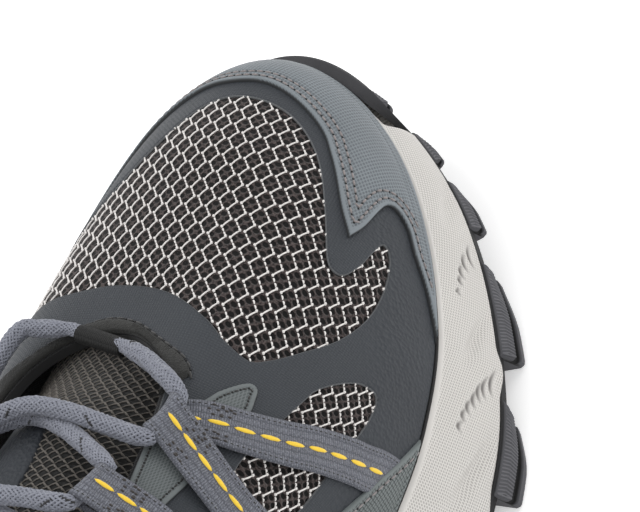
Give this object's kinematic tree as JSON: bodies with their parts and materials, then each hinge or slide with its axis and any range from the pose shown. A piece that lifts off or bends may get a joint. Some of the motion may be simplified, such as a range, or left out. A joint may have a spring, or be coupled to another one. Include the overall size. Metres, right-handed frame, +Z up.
{
  "type": "outdoor shoe",
  "caption": "Low-cut right outdoor shoe: lugged rubber outsole, foam midsole, mesh upper with bonded film, toe cap, webbing lace loops and a round lace.",
  "frame": {"origin": "middle of the shoe's box, on the plane that heel and forefoot stand on", "axes": "+X to the toe, -Y to the outer side of the foot, +Z up"},
  "size_m": [0.2998, 0.1198, 0.12],
  "materials": {
    "rubber": "matt dark rubber",
    "foam": "fine stippled foam",
    "mesh": "open two-tone mesh",
    "foot_bed": "brushed cloth",
    "air_mesh": "thick spacer mesh",
    "film": "satin bonded film",
    "embossed": "embossed synthetic leather",
    "woven": "coarse coated weave",
    "binding": "dark felted tape",
    "webbing": "ribbed webbing",
    "cord": "braided cord"
  },
  "bodies": {
    "root": {"outsole": "rubber", "midsole": "foam", "upper": "mesh", "insole": "foot_bed", "tongue": "air_mesh", "film": "film", "toe_cap": "embossed", "quarter": "woven", "throat_binding": "binding", "eyestay_outer": "embossed", "eyestay_inner": "embossed", "strap_outer_1": "webbing", "strap_outer_2": "webbing", "strap_outer_3": "webbing", "strap_inner_1": "webbing", "strap_inner_2": "webbing", "strap_inner_3": "webbing", "lace_keeper": "binding", "lace": "cord"}
  },
  "joints": []
}
